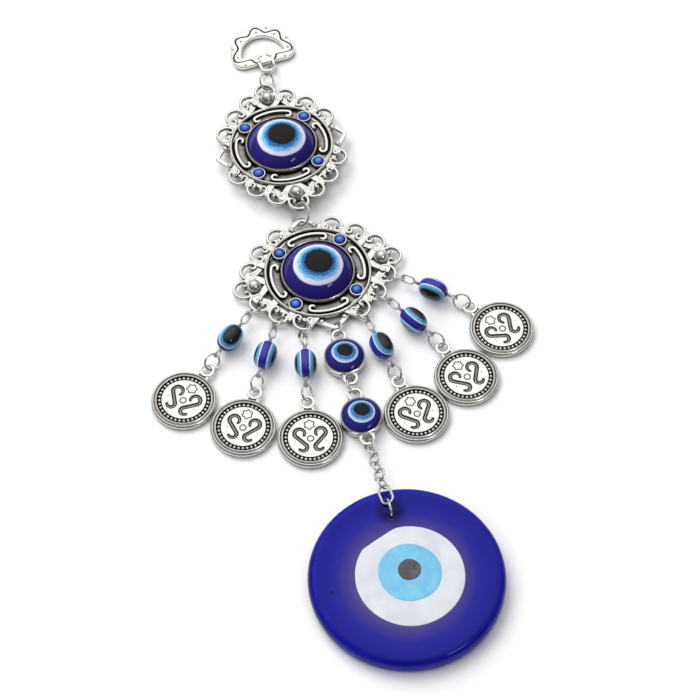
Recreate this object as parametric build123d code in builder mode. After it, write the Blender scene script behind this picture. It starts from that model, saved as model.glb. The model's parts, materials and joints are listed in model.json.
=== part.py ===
from build123d import *
import os
from math import asin, cos, radians, sin

# Evil eye wall ornament, laid flat: a cast hanger, two openwork medallions, two eye
# links, six bead-and-coin dangles, a run of chain and a glass eye disc, all joined by
# loose wire rings. Millimetres. +Z is up from the surface it lies on and +Y runs along
# the ornament towards the hanger.

# Layout: places along the ornament, and how each casting is turned and tipped, in degrees
AXIS_X = -0.314
MEDALLION_Y = 15.452
UPPER_STEP = 43.8
UPPER_X = -0.4
UPPER_Z = 1.6
UPPER_TILT = 3.2
UPPER_TURN = 90.8
LOWER_Z = 0.4
LOWER_TURN = 2.3

# Wire rings: mean radii, tilts, and how far a ring reaches past what it hooks
WIRE = 0.30
RING = 2.25
LINK_RING = 2.2
DROP_RING = 2.0
CHAIN_RING = 1.75
HANGER_RING = 2.5
MEDALLION_RING_TILT = 46
HOOK = 1.25
COIN_HOOK = 1.3
SCROLL_HOOK = 1.2
WIRE_HOOK = 0.75
SCROLL_RING_TILT = 48
EAR_RING_TILT = 50

# Medallion casting, heights from its back
FLOOR_TOP = 1.2
OUTER_RING = 14.8
RING_WALL = 0.9
RING_TOP = 2.4
BEZEL_RADIUS = 10.2
BEZEL_WALL = 0.7
BEZEL_TOP = 3.0
DIAMOND_LONG = 22.0
DIAMOND_SHORT = 18.1
STRAP_WIDTH = 2.2
STRAP_TOP = 1.3
CROSS_STRAPS = (-0.41, 0, 0.41)
CROSS_START = 0.85
CROSS_END = 1.13
DIAMOND_END = (19.3, 2.6)
CORNER_HOLE = 1.2
CORNER_HOLE_AT = 16.7
CORNER_BAR_AT = 18.5
CORNER_HALF = 3.2
CORNER_ARM = 4.2
CORNER_LOW = 1.05
CORNER_TOP = 1.7
CORNER_TIP = 19.15
CORNER_SLACK = 0.2
MEDALLION_HOOK = 2.2
SCROLL_RADIUS = 2.7
SCROLL_WIDTH = 0.9
SCROLL_LOW = 1.0
SCROLL_TOP = 1.9
SCROLL_REACH = 112
CURL_RADIUS = 0.85
CURL_TURN = 190
SCROLL_PLACES = ((0, 20.9), (16.5, 18.5), (37, 17.0), (61, 16.2))
PAD_RADIUS = 1.0
STUD_AT = 18.05
STUD_RADIUS = 2.35
STUD_SHOULDER = 1.6
GEM_AT = 12.2
GEM_ANGLE = 45
GEM_RADIUS = 1.55
GEM_WALL = 0.4
GEM_BEZEL_TOP = 2.3
GEM_SHOULDER = 2.1
GEM_RISE = 0.8
INNER_SCROLL = 12.75
INNER_SCROLL_WIDTH = 0.7
INNER_SCROLL_TOP = 2.0
INNER_SCROLL_HALF = 21
EYE_RADIUS = 9.4
EYE_SHOULDER = 2.6
EYE_RISE = 4.7

# Eye links, heights from the surface
LINK_RADIUS = 5.6
LINK_WALL = 0.55
LINK_TOP = 3.2
LINK_BACK = 0.8
LINK_EYE_RISE = 1.9
EAR_Z = 2.3
EAR_THICK = 0.6
EAR_HOLE = 1.3
EAR_BAR = 0.8
EAR_AT = 6.8

# Dangles: bead, eye pin and coin, with distances from the scroll that each hangs on
DANGLES = (
    # name, scroll angle and distance out, run of the chain, run of the coin, lean
    ("1", 196.5, 18.5, 223.7, 223.7, 1),
    ("2", 217.0, 17.0, 242.3, 241.8, 1),
    ("3", 241.0, 16.2, 259.2, 261.6, 1),
    ("4", 299.0, 16.2, 280.6, 282.0, -1),
    ("5", 323.0, 17.0, 301.5, 291.0, -1),
    ("6", 343.5, 18.5, 321.5, 307.0, -1),
)
BEAD_Z = 3.15
BEAD_RADIUS = 3.0
BEAD_END = 1.9
BEAD_LENGTH = 8.3
BEAD_SHOULDER = 2.76
BEAD_SHOULDER_AT = BEAD_LENGTH / 7
BEAD_FROM = 7.4
BEAD_HOLE = 0.40
PIN_RADIUS = 0.32
PIN_WIRE = 0.30
PIN_LOOP = 0.95
WRAP_RADIUS = 0.55
WRAP_LENGTH = 0.9
WRAP_GAP = 0.25
COIN_RADIUS = 8.7
COIN_THICK = 1.8
COIN_STEP = 0.35
COIN_RIM = 8.3
COIN_GROOVE_OUT = 7.1
COIN_GROOVE_IN = 5.8
COIN_EAR_Z = 1.5
COIN_EAR_THICK = 0.5
COIN_EAR_HOLE = 1.3
COIN_EAR_BAR = 0.8
COIN_EAR_AT = 10.75
COIN_RING_TILT = 55

# Chain, bail and glass disc
CHAIN_LINKS = 6
CHAIN_TOP_Z = 6.2
FACE_RING_LENGTH = 6.0
FACE_RING_HALF = 1.5
FACE_RING_TILT = 24
DISC_RADIUS = 25.0
DISC_THICK = 5.0
DISC_EDGE = 1.8
BAIL_UP = 18.4
BAIL_RADIUS = 2.3
BAIL_HOOK_ANGLE = 55
FACE_RING_END_Z = 7.27
TUNNEL = 0.62
HUMP_RADIUS = 3.75
HUMP_HEIGHT = 1.4
WHITE_RADIUS = 14.25
SKY_RADIUS = 8.15
PUPIL_RADIUS = 3.0
WHITE_DEEP = 1.2
SKY_DEEP = 0.8
PUPIL_DEEP = 0.4
WHITE_PLACE = (1.0, -0.9)
SKY_PLACE = (1.2, 0.2)
PUPIL_PLACE = (1.3, 0.9)

# Hanger, in its own plane with the straight edge along X
HANGER_RUN = 249.5
HANGER_TURN = 4.0
HANGER_JOIN_Z = 3.1
HANGER_RING_TILT = 44
HANGER_THICK = 1.6
ARCH_RADIUS = 9.2
ARCH_UP = 4.8
CORNER_BULGE = 3.1
BULGE_AT = 6.2
OPENING_HALF = 6.3
OPENING_HEIGHT = 6.8
OPENING_UP = 3.4
TAB_HALF = 2.4
TAB_ROOT = 0.5
TAB_BAR_AT = 2.9
TAB_BAR = 0.9
TAB_THICK = 0.6
SLOT_HALF = 1.5
SLOT_HEIGHT = 2.0

UP = Vector(0, 0, 1)
os.makedirs("parts", exist_ok=True)


def save(piece, name):
    """Label a finished sub-part and write its STEP file."""
    piece.part.label = name
    export_step(piece.part, f"parts/{name}.step")


def heading(angle):
    """A level unit vector at an angle from +X."""
    return Vector(cos(radians(angle)), sin(radians(angle)), 0)


def rising(run, start_z, end_z, length):
    """The unit vector that follows a level one and climbs from one height to another."""
    slope = (end_z - start_z) / length
    return run * cos(asin(slope)) + UP * slope


def ring_plane(near, far, tilt):
    """The plane of a ring between its two end points, leaned over about that line."""
    along = (far - near).normalized()
    across = UP.cross(along).normalized()
    lift = along.cross(across)
    normal = lift * cos(radians(tilt)) - across * sin(radians(tilt))
    return Plane(origin=(near + far) * 0.5, x_dir=along, z_dir=normal)


def side_plane(plane):
    """The upright plane through a level one's origin, where Y is the level one's normal."""
    return Plane(origin=plane.origin, x_dir=plane.x_dir, z_dir=plane.y_dir * -1)


def ring(near, far, tilt, name, wire=WIRE):
    """A closed wire ring that reaches from one point to another."""
    with BuildPart(ring_plane(near, far, tilt)) as loop:
        Torus((far - near).length / 2, wire)
    save(loop, name)


def button_profile(radius, low, shoulder, rise):
    """Half the outline of a domed button, from its axis."""
    with BuildLine() as outline:
        cap = TangentArc((0, shoulder + rise), (radius, shoulder), tangent=(1, 0))
        Polyline(cap @ 1, (radius, low), (0, low), cap @ 0)
    return outline.line


def buttons(planes, radius, low, shoulder, rise, name):
    """Domed buttons of one size, each standing on its own plane."""
    with BuildPart() as domes:
        for plane in planes:
            with BuildSketch(side_plane(plane)):
                make_face(button_profile(radius, low, shoulder, rise).edges())
            revolve(axis=Axis(plane.origin, plane.z_dir))
    save(domes, name)


def scroll_line(centre, angle, radius, reach):
    """The centre line of a C-scroll whose back faces along an angle, both ends curled in."""
    with BuildLine() as line:
        bow = CenterArc(centre, radius, angle - reach, 2 * reach)
        JernArc(bow @ 1, bow % 1, CURL_RADIUS, CURL_TURN)
        JernArc(bow @ 0, (bow % 0) * -1, CURL_RADIUS, -CURL_TURN)
    return line.line


def border_scrolls():
    """The angle and the distance out of all fourteen scrolls round a medallion."""
    places = set()
    for angle, out in SCROLL_PLACES:
        for turned in (angle, -angle, 180 - angle, 180 + angle):
            places.add((turned % 360, out))
    return sorted(places)


def strap_point(step, reach):
    """A point on a crossing strap, counted along the slanted grid of the lattice."""
    return Vector(DIAMOND_LONG * (reach + step) / 2, DIAMOND_SHORT * (reach - step) / 2)


def mirrored(point):
    """A point's four places in the four quarters of a medallion."""
    return [Vector(i * point.X, j * point.Y) for i in (1, -1) for j in (1, -1)]


def moved(plane, place):
    """A plane shifted to a place given in its own axes."""
    return Plane(origin=plane.from_local_coords(place), x_dir=plane.x_dir, z_dir=plane.z_dir)


def medallion(plane, name):
    """One openwork casting: floor, rings, lattice, scrolls, studs and gem settings."""
    with BuildPart() as casting:
        # Floor, and the three kinds of raised rim on it
        with BuildSketch(plane):
            Circle(OUTER_RING)
        extrude(amount=FLOOR_TOP)
        with BuildSketch(plane):
            Circle(OUTER_RING)
            Circle(OUTER_RING - RING_WALL, mode=Mode.SUBTRACT)
        extrude(amount=RING_TOP)
        with BuildSketch(plane):
            Circle(BEZEL_RADIUS)
            Circle(BEZEL_RADIUS - BEZEL_WALL, mode=Mode.SUBTRACT)
        extrude(amount=BEZEL_TOP)
        with BuildSketch(plane):
            with PolarLocations(GEM_AT, 4, start_angle=GEM_ANGLE):
                Circle(GEM_RADIUS + GEM_WALL)
                Circle(GEM_RADIUS, mode=Mode.SUBTRACT)
        extrude(amount=GEM_BEZEL_TOP)
        # Inner scrolls between the gem settings
        with BuildSketch(plane):
            for angle in (0, 90, 180, 270):
                trace(scroll_line((0, 0), angle, INNER_SCROLL, INNER_SCROLL_HALF), INNER_SCROLL_WIDTH)
        extrude(amount=INNER_SCROLL_TOP)
        # Lattice: a diamond of straps and the straps that cross it
        with BuildSketch(plane):
            for side in (1, -1):
                with BuildLine() as diamond:
                    Polyline((-DIAMOND_END[0], side * DIAMOND_END[1]), (0, side * DIAMOND_SHORT),
                             (DIAMOND_END[0], side * DIAMOND_END[1]))
                trace(diamond.line, STRAP_WIDTH)
            for step in CROSS_STRAPS:
                starts = mirrored(strap_point(step, CROSS_START))
                ends = mirrored(strap_point(step, CROSS_END))
                for near, far in zip(starts, ends):
                    with BuildLine() as strap:
                        Line(near, far)
                    trace(strap.line, STRAP_WIDTH)
            Circle(OUTER_RING - RING_WALL / 2, mode=Mode.SUBTRACT)
        extrude(amount=STRAP_TOP)
        # Border scrolls, joined to each other by pads
        with BuildSketch(plane.offset(SCROLL_LOW)):
            for angle, out in border_scrolls():
                trace(scroll_line(heading(angle) * out, angle, SCROLL_RADIUS, SCROLL_REACH), SCROLL_WIDTH)
        extrude(amount=SCROLL_TOP - SCROLL_LOW)
        with BuildSketch(plane):
            for first, second in zip(SCROLL_PLACES, SCROLL_PLACES[1:]):
                joint = (heading(first[0]) * first[1] + heading(second[0]) * second[1]) * 0.5
                with Locations(*mirrored(joint)):
                    Circle(PAD_RADIUS)
        extrude(amount=SCROLL_TOP)
        # Domed studs at the two long ends
        for stud in (STUD_AT, -STUD_AT):
            base = moved(plane, (stud, 0, 0))
            with BuildSketch(side_plane(base)):
                make_face(button_profile(STUD_RADIUS, 0, STUD_SHOULDER, STUD_RADIUS).edges())
            revolve(axis=Axis(base.origin, base.z_dir))
        # Hanging holes in the two short corners, thinned from below for the rings
        with BuildSketch(plane.offset(CORNER_LOW)):
            for side in (1, -1):
                drop = CORNER_ARM * DIAMOND_SHORT / DIAMOND_LONG
                with BuildLine() as corner:
                    Polyline((-CORNER_ARM, side * (DIAMOND_SHORT - drop)), (0, side * DIAMOND_SHORT),
                             (CORNER_ARM, side * (DIAMOND_SHORT - drop)))
                trace(corner.line, STRAP_WIDTH)
        extrude(amount=CORNER_TOP - CORNER_LOW)
        with BuildSketch(plane):
            with Locations((0, CORNER_TIP + STRAP_WIDTH / 2), (0, -CORNER_TIP - STRAP_WIDTH / 2)):
                Rectangle(STRAP_WIDTH, STRAP_WIDTH)
        extrude(amount=CORNER_TOP, mode=Mode.SUBTRACT)
        with BuildSketch(plane):
            with Locations((0, CORNER_HOLE_AT), (0, -CORNER_HOLE_AT)):
                Circle(CORNER_HOLE)
        extrude(amount=CORNER_TOP, mode=Mode.SUBTRACT)
        with BuildSketch(plane):
            with Locations((0, OUTER_RING), (0, -OUTER_RING)):
                Rectangle(2 * CORNER_HALF, 2 * (DIAMOND_SHORT + STRAP_WIDTH - OUTER_RING))
            Circle(OUTER_RING, mode=Mode.SUBTRACT)
        extrude(amount=CORNER_LOW, mode=Mode.SUBTRACT)
    save(casting, name)


def oval_line(plane, length, half):
    """A long loop with round ends, from a plane's origin along its X axis."""
    with BuildLine() as loop:
        side = Line((half, -half), (length - half, -half))
        end = JernArc(side @ 1, side % 1, half, 180)
        back = Line(end @ 1, (half, half))
        JernArc(back @ 1, back % 1, half, 180)
    return plane * loop.line


def dangle(name, angle, out, run_angle, coin_angle, lean):
    """One dangle: its top ring, bead on an eye pin, bottom ring and coin."""
    run = heading(run_angle)
    coin_run = heading(coin_angle)
    scroll = lower.from_local_coords(heading(angle) * out)
    bar = scroll + run * SCROLL_RADIUS + UP * (SCROLL_LOW + SCROLL_TOP) * 0.5
    # Top ring, from inside the scroll up to the level of the pin
    along = rising(run, bar.Z, BEAD_Z, 2 * RING - SCROLL_HOOK)
    top_near = bar - along * SCROLL_HOOK
    top_far = top_near + along * 2 * RING
    ring(top_near, top_far, lean * SCROLL_RING_TILT, f"top_ring_{name}")
    # Eye pin: a long eye, two wraps of wire, the pin itself and a round eye
    eye_start = top_far - run * WIRE_HOOK
    bead_start = bar + run * BEAD_FROM
    bead_start.Z = BEAD_Z
    wrap_start = bead_start - run * (WRAP_GAP + WRAP_LENGTH)
    bead_end = bead_start + run * BEAD_LENGTH
    wrap_end = bead_end + run * (WRAP_GAP + WRAP_LENGTH)
    low_near = wrap_end + run * (2 * PIN_LOOP - WIRE_HOOK)
    low_along = rising(run, BEAD_Z, COIN_EAR_Z, 2 * RING)
    low_far = low_near + low_along * 2 * RING
    upper_normal = ring_plane(top_near, top_far, lean * SCROLL_RING_TILT).y_dir
    lower_normal = ring_plane(low_near, low_far, -lean * COIN_RING_TILT).y_dir
    upper_normal = (upper_normal - run * upper_normal.dot(run)).normalized()
    lower_normal = (lower_normal - run * lower_normal.dot(run)).normalized()
    upper_eye = Plane(origin=eye_start, x_dir=run, z_dir=upper_normal)
    lower_eye = Plane(origin=wrap_end + run * PIN_LOOP, x_dir=run, z_dir=lower_normal)
    loop = oval_line(upper_eye, (wrap_start - eye_start).length, PIN_LOOP)
    with BuildPart() as pin:
        with BuildSketch(Plane(origin=loop @ 0, z_dir=loop % 0)):
            Circle(PIN_WIRE)
        sweep(path=loop)
        with BuildSketch(Plane(origin=wrap_start, z_dir=run)):
            Circle(WRAP_RADIUS)
        extrude(amount=WRAP_LENGTH)
        with BuildSketch(Plane(origin=wrap_start, z_dir=run)):
            Circle(PIN_RADIUS)
        extrude(amount=(wrap_end - wrap_start).length)
        with BuildSketch(Plane(origin=wrap_end, z_dir=run * -1)):
            Circle(WRAP_RADIUS)
        extrude(amount=WRAP_LENGTH)
        with Locations(lower_eye):
            Torus(PIN_LOOP, PIN_WIRE)
    save(pin, f"eye_pin_{name}")
    # Bead
    with BuildPart() as bead:
        with BuildSketch(Plane(origin=bead_start, x_dir=run, z_dir=run.cross(UP))):
            with BuildLine():
                barrel = Spline(
                    (0, BEAD_END),
                    (BEAD_SHOULDER_AT, BEAD_SHOULDER),
                    (BEAD_LENGTH / 2, BEAD_RADIUS),
                    (BEAD_LENGTH - BEAD_SHOULDER_AT, BEAD_SHOULDER),
                    (BEAD_LENGTH, BEAD_END),
                )
                Polyline(barrel @ 1, (BEAD_LENGTH, BEAD_HOLE), (0, BEAD_HOLE), barrel @ 0)
            make_face()
        revolve(axis=Axis(bead_start, run))
    save(bead, f"bead_{name}")
    # Bottom ring and coin
    ring(low_near, low_far, -lean * COIN_RING_TILT, f"bottom_ring_{name}")
    ear_bar = low_far - run * COIN_HOOK
    ear = ear_bar + run * (COIN_EAR_HOLE + COIN_EAR_BAR / 2)
    centre = ear + coin_run * COIN_EAR_AT
    face = Plane(origin=(centre.X, centre.Y, 0), x_dir=coin_run * -1, z_dir=UP)
    with BuildPart() as coin:
        with BuildSketch(face):
            Circle(COIN_RADIUS)
        extrude(amount=COIN_THICK - COIN_STEP)
        with BuildSketch(face):
            Circle(COIN_RIM)
            Circle(COIN_GROOVE_OUT, mode=Mode.SUBTRACT)
            Circle(COIN_GROOVE_IN)
        extrude(amount=COIN_THICK)
        with BuildSketch(face.offset(COIN_EAR_Z - COIN_EAR_THICK / 2)):
            with Locations((COIN_EAR_AT, 0)):
                Circle(COIN_EAR_HOLE + COIN_EAR_BAR)
            with Locations((COIN_RADIUS, 0)):
                Rectangle(2 * COIN_EAR_HOLE, 2 * COIN_EAR_HOLE)
            Circle(COIN_GROOVE_OUT, mode=Mode.SUBTRACT)
            with Locations((COIN_EAR_AT, 0)):
                Circle(COIN_EAR_HOLE, mode=Mode.SUBTRACT)
        extrude(amount=COIN_EAR_THICK)
    save(coin, f"coin_{name}")


def eye_link(centre, run, name):
    """A round eye link: a cup with a hanging ear above and below, and its glass eye."""
    base = Plane(origin=(centre.X, centre.Y, 0), x_dir=run, z_dir=UP)
    with BuildPart() as cup:
        with BuildSketch(base):
            Circle(LINK_RADIUS)
        extrude(amount=LINK_TOP)
        with BuildSketch(base.offset(EAR_Z - EAR_THICK / 2)):
            with Locations((EAR_AT, 0), (-EAR_AT, 0)):
                Circle(EAR_HOLE + EAR_BAR)
                Circle(EAR_HOLE, mode=Mode.SUBTRACT)
        extrude(amount=EAR_THICK)
        with BuildSketch(base.offset(LINK_BACK)):
            Circle(LINK_RADIUS - LINK_WALL)
        extrude(amount=LINK_TOP, mode=Mode.SUBTRACT)
    save(cup, f"{name}_setting")
    buttons([base], LINK_RADIUS - LINK_WALL, LINK_BACK, LINK_TOP, LINK_EYE_RISE, f"{name}_eye")


# Medallions
lower = Plane(origin=(AXIS_X, MEDALLION_Y, LOWER_Z), x_dir=heading(LOWER_TURN), z_dir=UP)
upper_run = heading(UPPER_TURN)
upper = Plane(
    origin=(AXIS_X + UPPER_X, MEDALLION_Y + UPPER_STEP, UPPER_Z),
    x_dir=upper_run * cos(radians(UPPER_TILT)) - UP * sin(radians(UPPER_TILT)),
    z_dir=UP * cos(radians(UPPER_TILT)) + upper_run * sin(radians(UPPER_TILT)),
)
for plane, name in ((lower, "lower"), (upper, "upper")):
    medallion(plane, f"{name}_medallion")
    buttons([plane], EYE_RADIUS, FLOOR_TOP, EYE_SHOULDER, EYE_RISE, f"{name}_eye")
    gem_planes = [moved(plane, heading(GEM_ANGLE + 90 * i) * GEM_AT) for i in range(4)]
    buttons(gem_planes, GEM_RADIUS, FLOOR_TOP, GEM_SHOULDER, GEM_RISE, f"{name}_gems")

# Hanger, reached by two rings from the upper medallion's end scroll
scroll_mid = (SCROLL_LOW + SCROLL_TOP) / 2
end_scroll = SCROLL_PLACES[0][1]
away = heading(HANGER_RUN) * -1
bar = upper.from_local_coords((end_scroll, 0, scroll_mid)) + away * SCROLL_RADIUS
tab_z = HANGER_THICK - TAB_THICK / 2
along = rising(away, bar.Z, HANGER_JOIN_Z, 2 * HANGER_RING - HOOK)
near = bar - along * HOOK
far = near + along * 2 * HANGER_RING
ring(near, far, HANGER_RING_TILT, "hanger_ring_a")
along = rising(away, far.Z, tab_z, 2 * HANGER_RING - WIRE_HOOK)
near = far - along * WIRE_HOOK
far = near + along * 2 * HANGER_RING
ring(near, far, -HANGER_RING_TILT, "hanger_ring_b")
tab_bar = far - away * HOOK
top = Plane(origin=(tab_bar.X, tab_bar.Y, 0), x_dir=heading(HANGER_TURN), z_dir=UP)
top = moved(top, (0, TAB_BAR_AT, 0))
with BuildPart() as hanger:
    with BuildSketch(top):
        with Locations((0, ARCH_UP)):
            Circle(ARCH_RADIUS)
            Rectangle(2 * ARCH_RADIUS, ARCH_RADIUS, align=(Align.CENTER, Align.MAX), mode=Mode.SUBTRACT)
        with Locations((BULGE_AT, CORNER_BULGE), (-BULGE_AT, CORNER_BULGE)):
            Circle(CORNER_BULGE)
        make_hull()
        with BuildSketch(mode=Mode.SUBTRACT):
            with Locations((0, OPENING_UP)):
                Ellipse(OPENING_HALF, OPENING_HEIGHT)
                Rectangle(
                    2 * OPENING_HALF,
                    OPENING_HEIGHT,
                    align=(Align.CENTER, Align.MAX),
                    mode=Mode.SUBTRACT,
                )
    extrude(amount=HANGER_THICK)
    with BuildSketch(top.offset(HANGER_THICK - TAB_THICK)):
        with Locations((0, TAB_ROOT)):
            Rectangle(2 * TAB_HALF, TAB_ROOT + TAB_BAR_AT + TAB_BAR / 2, align=(Align.CENTER, Align.MAX))
        with Locations((0, TAB_BAR / 2 - TAB_BAR_AT)):
            Rectangle(2 * SLOT_HALF, SLOT_HEIGHT, align=(Align.CENTER, Align.MIN), mode=Mode.SUBTRACT)
    extrude(amount=TAB_THICK)
save(hanger, "hanger")

# Ring between the medallions
upper_hook = upper.from_local_coords((MEDALLION_HOOK - end_scroll - SCROLL_RADIUS, 0, scroll_mid))
corner_mid = (CORNER_LOW + CORNER_TOP) / 2
lower_hook = lower.from_local_coords((0, CORNER_HOLE_AT - CORNER_SLACK, corner_mid))
ring(upper_hook, lower_hook, MEDALLION_RING_TILT, "medallion_ring")

# Dangles
for name, angle, out, run_angle, coin_angle, lean in DANGLES:
    dangle(name, angle, out, run_angle, coin_angle, lean)

# Eye links, hung from the lower medallion
run = heading(-90)
bar = lower.from_local_coords((0, -CORNER_BAR_AT, corner_mid))
along = rising(run, bar.Z, EAR_Z, 2 * DROP_RING - HOOK)
near = bar - along * HOOK
far = near + along * 2 * DROP_RING
ring(near, far, EAR_RING_TILT, "drop_ring")
ear_reach = EAR_AT + EAR_HOLE + EAR_BAR / 2
link_1 = far + run * (ear_reach - HOOK)
eye_link(link_1, run, "link_1")
near = link_1 + run * (ear_reach - HOOK)
far = near + run * 2 * LINK_RING
ring(near, far, -EAR_RING_TILT, "link_ring")
link_2 = far + run * (ear_reach - HOOK)
eye_link(link_2, run, "link_2")

# Chain, climbing from the second link to the ring on the disc
near = link_2 + run * (ear_reach - HOOK)
chain_length = CHAIN_LINKS * (2 * CHAIN_RING - WIRE_HOOK) + WIRE_HOOK
along = rising(run, EAR_Z, CHAIN_TOP_Z, chain_length)
for i in range(CHAIN_LINKS):
    far = near + along * 2 * CHAIN_RING
    ring(near, far, EAR_RING_TILT * (-1) ** i, f"chain_ring_{i + 1}")
    near = far - along * WIRE_HOOK

# Oval ring, bail ring and glass disc
along = rising(run, near.Z, FACE_RING_END_Z, FACE_RING_LENGTH)
far = near + along * FACE_RING_LENGTH
lie = ring_plane(near, far, FACE_RING_TILT)
loop = oval_line(moved(lie, (-FACE_RING_LENGTH / 2, 0, 0)), FACE_RING_LENGTH, FACE_RING_HALF)
with BuildPart() as oval_ring:
    with BuildSketch(Plane(origin=loop @ 0, z_dir=loop % 0)):
        Circle(WIRE)
    sweep(path=loop)
save(oval_ring, "oval_ring")
reach = run * -cos(radians(BAIL_HOOK_ANGLE)) + UP * sin(radians(BAIL_HOOK_ANGLE))
bail = far - reach * (BAIL_RADIUS - WIRE_HOOK)
bail_plane = Plane(origin=bail, x_dir=run, z_dir=(1, 0, 0))
with BuildPart(bail_plane) as bail_ring:
    Torus(BAIL_RADIUS, WIRE)
save(bail_ring, "bail_ring")
disc = Plane(origin=(bail.X, bail.Y - BAIL_UP, 0))
hump = Plane(origin=(bail.X, bail.Y, 0))
layers = [moved(disc, (*place, DISC_THICK)) for place in (WHITE_PLACE, SKY_PLACE, PUPIL_PLACE)]
with BuildPart() as glass:
    with BuildSketch(disc):
        Circle(DISC_RADIUS)
    extrude(amount=DISC_THICK)
    fillet(glass.edges(), DISC_EDGE)
    with BuildSketch(side_plane(hump)):
        make_face(button_profile(HUMP_RADIUS, DISC_THICK - DISC_EDGE, DISC_THICK, HUMP_HEIGHT).edges())
    revolve(axis=Axis(hump.origin, UP))
    with Locations(bail_plane):
        Torus(BAIL_RADIUS, TUNNEL, mode=Mode.SUBTRACT)
    with BuildSketch(layers[0]):
        Circle(WHITE_RADIUS)
    extrude(amount=-WHITE_DEEP, mode=Mode.SUBTRACT)
save(glass, "glass_disc")
LAYERS = (
    # name, its plane and size, then the plane and size of the layer set into it
    ("white_layer", layers[0], WHITE_RADIUS, WHITE_DEEP, layers[1], SKY_RADIUS, SKY_DEEP),
    ("sky_layer", layers[1], SKY_RADIUS, SKY_DEEP, layers[2], PUPIL_RADIUS, PUPIL_DEEP),
)
for name, plane, radius, depth, inner, inner_radius, inner_depth in LAYERS:
    with BuildPart() as layer:
        with BuildSketch(plane):
            Circle(radius)
        extrude(amount=-depth)
        with BuildSketch(inner):
            Circle(inner_radius)
        extrude(amount=-inner_depth, mode=Mode.SUBTRACT)
    save(layer, name)
with BuildPart() as pupil:
    with BuildSketch(layers[2]):
        Circle(PUPIL_RADIUS)
    extrude(amount=-PUPIL_DEEP)
save(pupil, "pupil")
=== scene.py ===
"""Evil eye wall ornament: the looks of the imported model, piece by piece."""

import json
import random
from math import atan2, cos, degrees, floor, hypot, pi, radians, sin, sqrt

import bmesh
import bpy
from mathutils import Matrix, Vector


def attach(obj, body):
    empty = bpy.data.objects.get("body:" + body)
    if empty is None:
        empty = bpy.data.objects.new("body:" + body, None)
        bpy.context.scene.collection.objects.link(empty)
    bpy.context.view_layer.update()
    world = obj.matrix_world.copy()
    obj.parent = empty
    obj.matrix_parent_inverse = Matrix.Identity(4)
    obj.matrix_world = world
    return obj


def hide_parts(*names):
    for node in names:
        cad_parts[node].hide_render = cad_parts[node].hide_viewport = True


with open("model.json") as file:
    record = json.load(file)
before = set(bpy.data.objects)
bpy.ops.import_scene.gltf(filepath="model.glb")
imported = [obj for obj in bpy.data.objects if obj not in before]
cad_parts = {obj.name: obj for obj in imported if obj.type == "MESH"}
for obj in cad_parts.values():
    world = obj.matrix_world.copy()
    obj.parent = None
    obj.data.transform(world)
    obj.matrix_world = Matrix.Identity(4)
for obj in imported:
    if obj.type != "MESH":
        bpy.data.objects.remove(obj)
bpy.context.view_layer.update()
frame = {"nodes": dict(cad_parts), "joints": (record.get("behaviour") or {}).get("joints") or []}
random.seed(7)
MM = 0.001
UP = Vector((0, 0, 1))
JOINTS = {j["child"]: j for j in frame["joints"]}


def joint_at(body):
    """Where the joint that carries a body is, in millimetres."""
    return Vector(JOINTS[body]["pos_m"]) / MM


def joint_axis(body):
    """The direction of that joint's axis."""
    return Vector(JOINTS[body]["axis"])


def level(angle):
    """A level unit vector at an angle in degrees."""
    return Vector((cos(radians(angle)), sin(radians(angle)), 0))


def full_turn(count):
    """Evenly spaced angles of one full turn, in radians."""
    return [2 * pi * j / count for j in range(count)]


def frame_at(origin, x_dir, z_dir=UP):
    """A millimetre frame: its X along x_dir, its Z along z_dir."""
    z = z_dir.normalized()
    x = (x_dir - z * x_dir.dot(z)).normalized()
    y = z.cross(x)
    m = Matrix((x, y, z)).transposed().to_4x4()
    m.translation = origin
    return m


# ---------------------------------------------------------------- mesh building


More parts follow.
